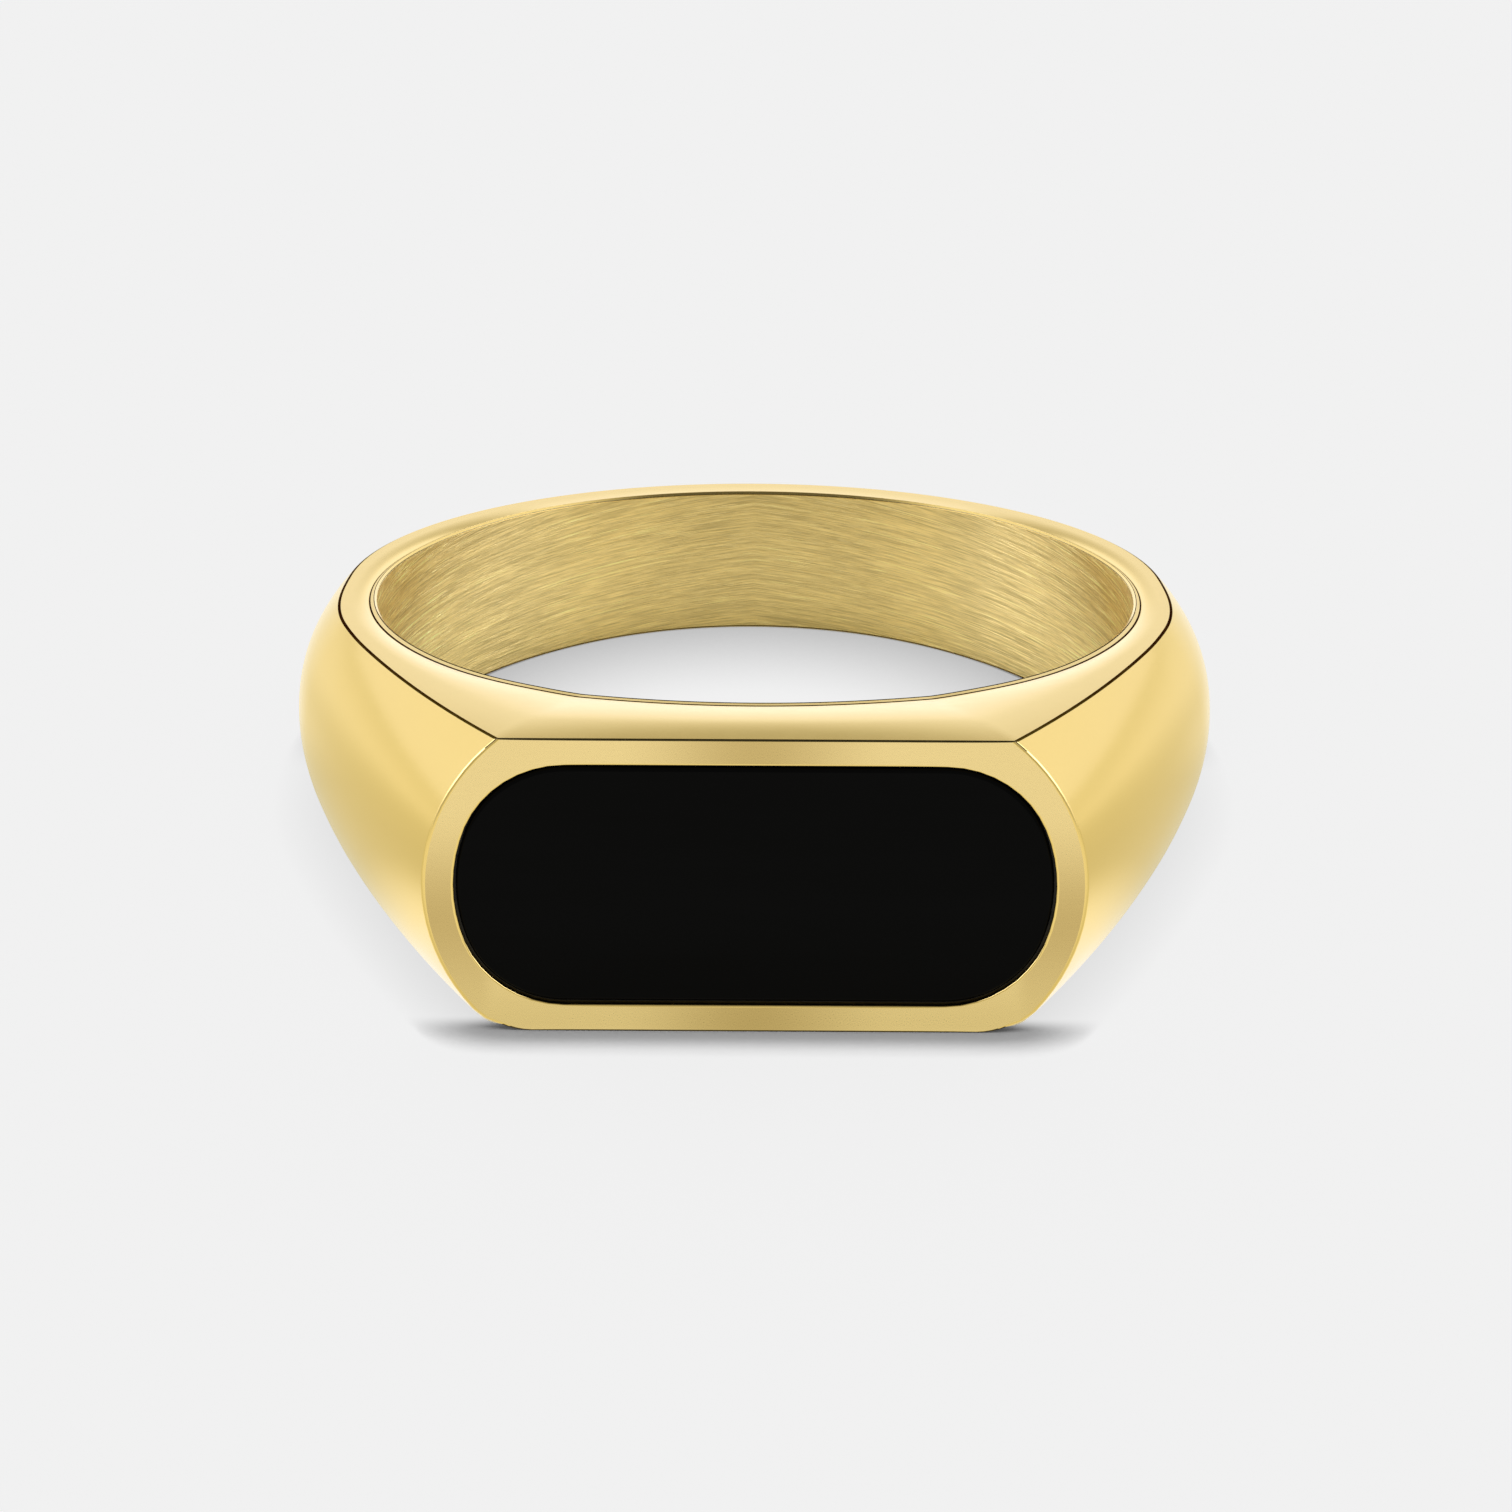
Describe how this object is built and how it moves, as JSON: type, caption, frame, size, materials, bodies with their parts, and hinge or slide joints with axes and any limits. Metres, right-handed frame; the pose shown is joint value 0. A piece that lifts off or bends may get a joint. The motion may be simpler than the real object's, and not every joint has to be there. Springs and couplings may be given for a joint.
{
  "type": "signet ring",
  "caption": "Finger ring with a flat oblong signet face, an inlaid polished stone tablet, crisp-edged sloping sides and a brushed bore.",
  "frame": {"origin": "centre of the finger bore, midway between the two side faces", "axes": "+Z along the finger bore, signet face towards -Y, +X across the face's length"},
  "size_m": [0.0228, 0.0234, 0.0076],
  "materials": {
    "polished_gold": "mirror polished outside, brushed bore, satin signet face",
    "onyx": "high polish",
    "resin": "cured, hidden"
  },
  "bodies": {
    "root": {"ring_body": "polished_gold", "onyx_tablet": "onyx", "resin_bed": "resin"}
  },
  "joints": []
}
